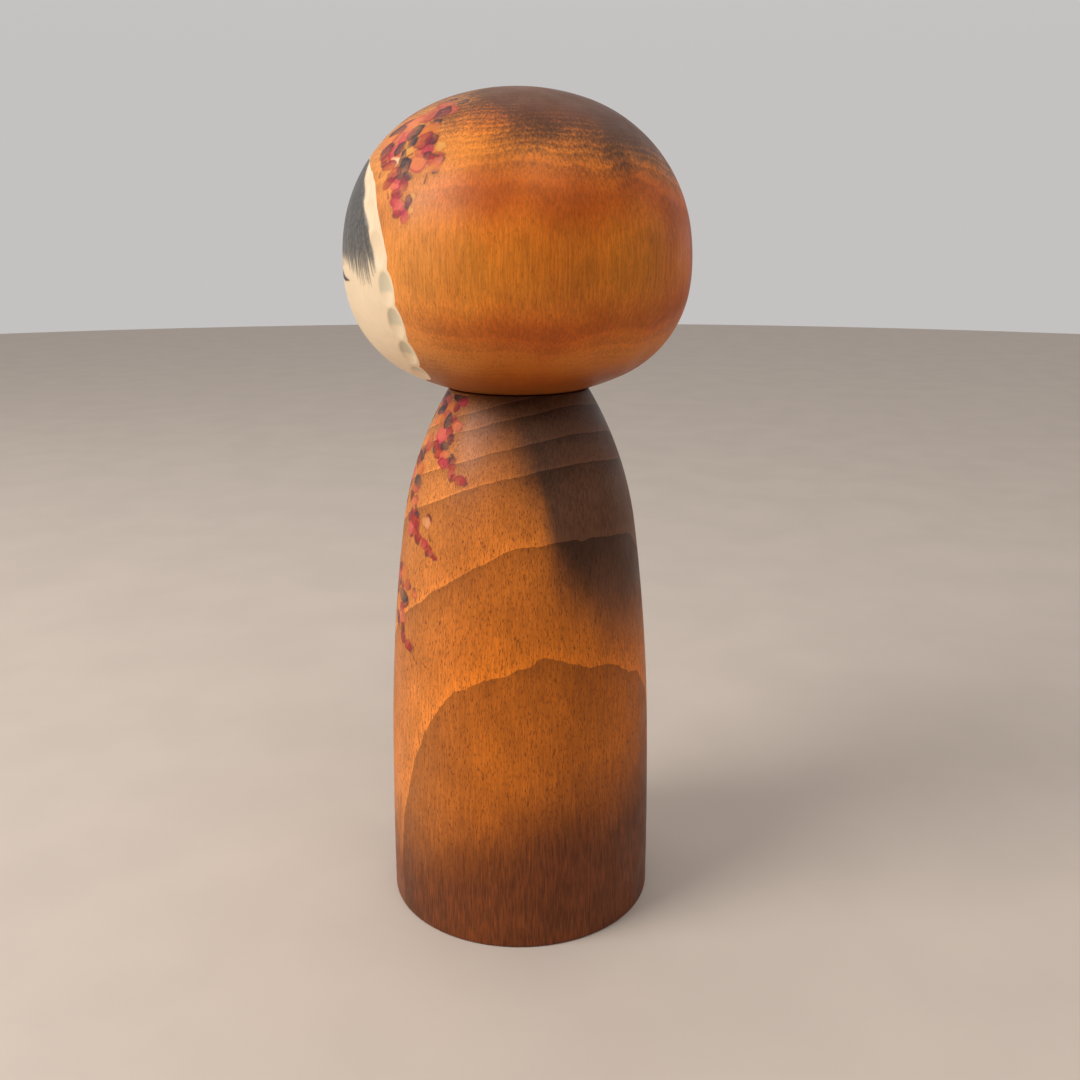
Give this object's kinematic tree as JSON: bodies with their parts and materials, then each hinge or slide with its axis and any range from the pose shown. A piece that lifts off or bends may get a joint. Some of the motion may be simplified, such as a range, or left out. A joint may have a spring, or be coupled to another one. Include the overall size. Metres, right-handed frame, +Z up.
{
  "type": "kokeshi doll",
  "caption": "Turned wooden kokeshi doll: a rounded head that turns on a neck peg over a tapered standing body.",
  "frame": {"origin": "centre of the base, on the surface that the doll stands on", "axes": "+Z up along the lathe axis, the doll faces -Y, its left hand side is +X"},
  "size_m": [0.1198, 0.1198, 0.295],
  "materials": {
    "body_wood": "orange-brown stain under satin lacquer, darker sprayed foot and back, painted sprays",
    "head_wood": "orange-brown stain under satin lacquer, bare cream face, painted hair and blossoms",
    "peg_wood": "bare turned hardwood, unfinished"
  },
  "bodies": {
    "body": {"body": "body_wood"},
    "neck_peg": {"neck_peg": "peg_wood"},
    "head": {"head": "head_wood"}
  },
  "joints": [
    {"name": "peg_lift", "type": "slide", "parent": "body", "child": "neck_peg", "axis": [0, 0, 1], "range_m": [0, 0.06]},
    {"name": "head_turn", "type": "hinge", "parent": "neck_peg", "child": "head", "pos_m": [0, 0, 0.1958], "axis": [0, 0, 1], "continuous": true}
  ]
}
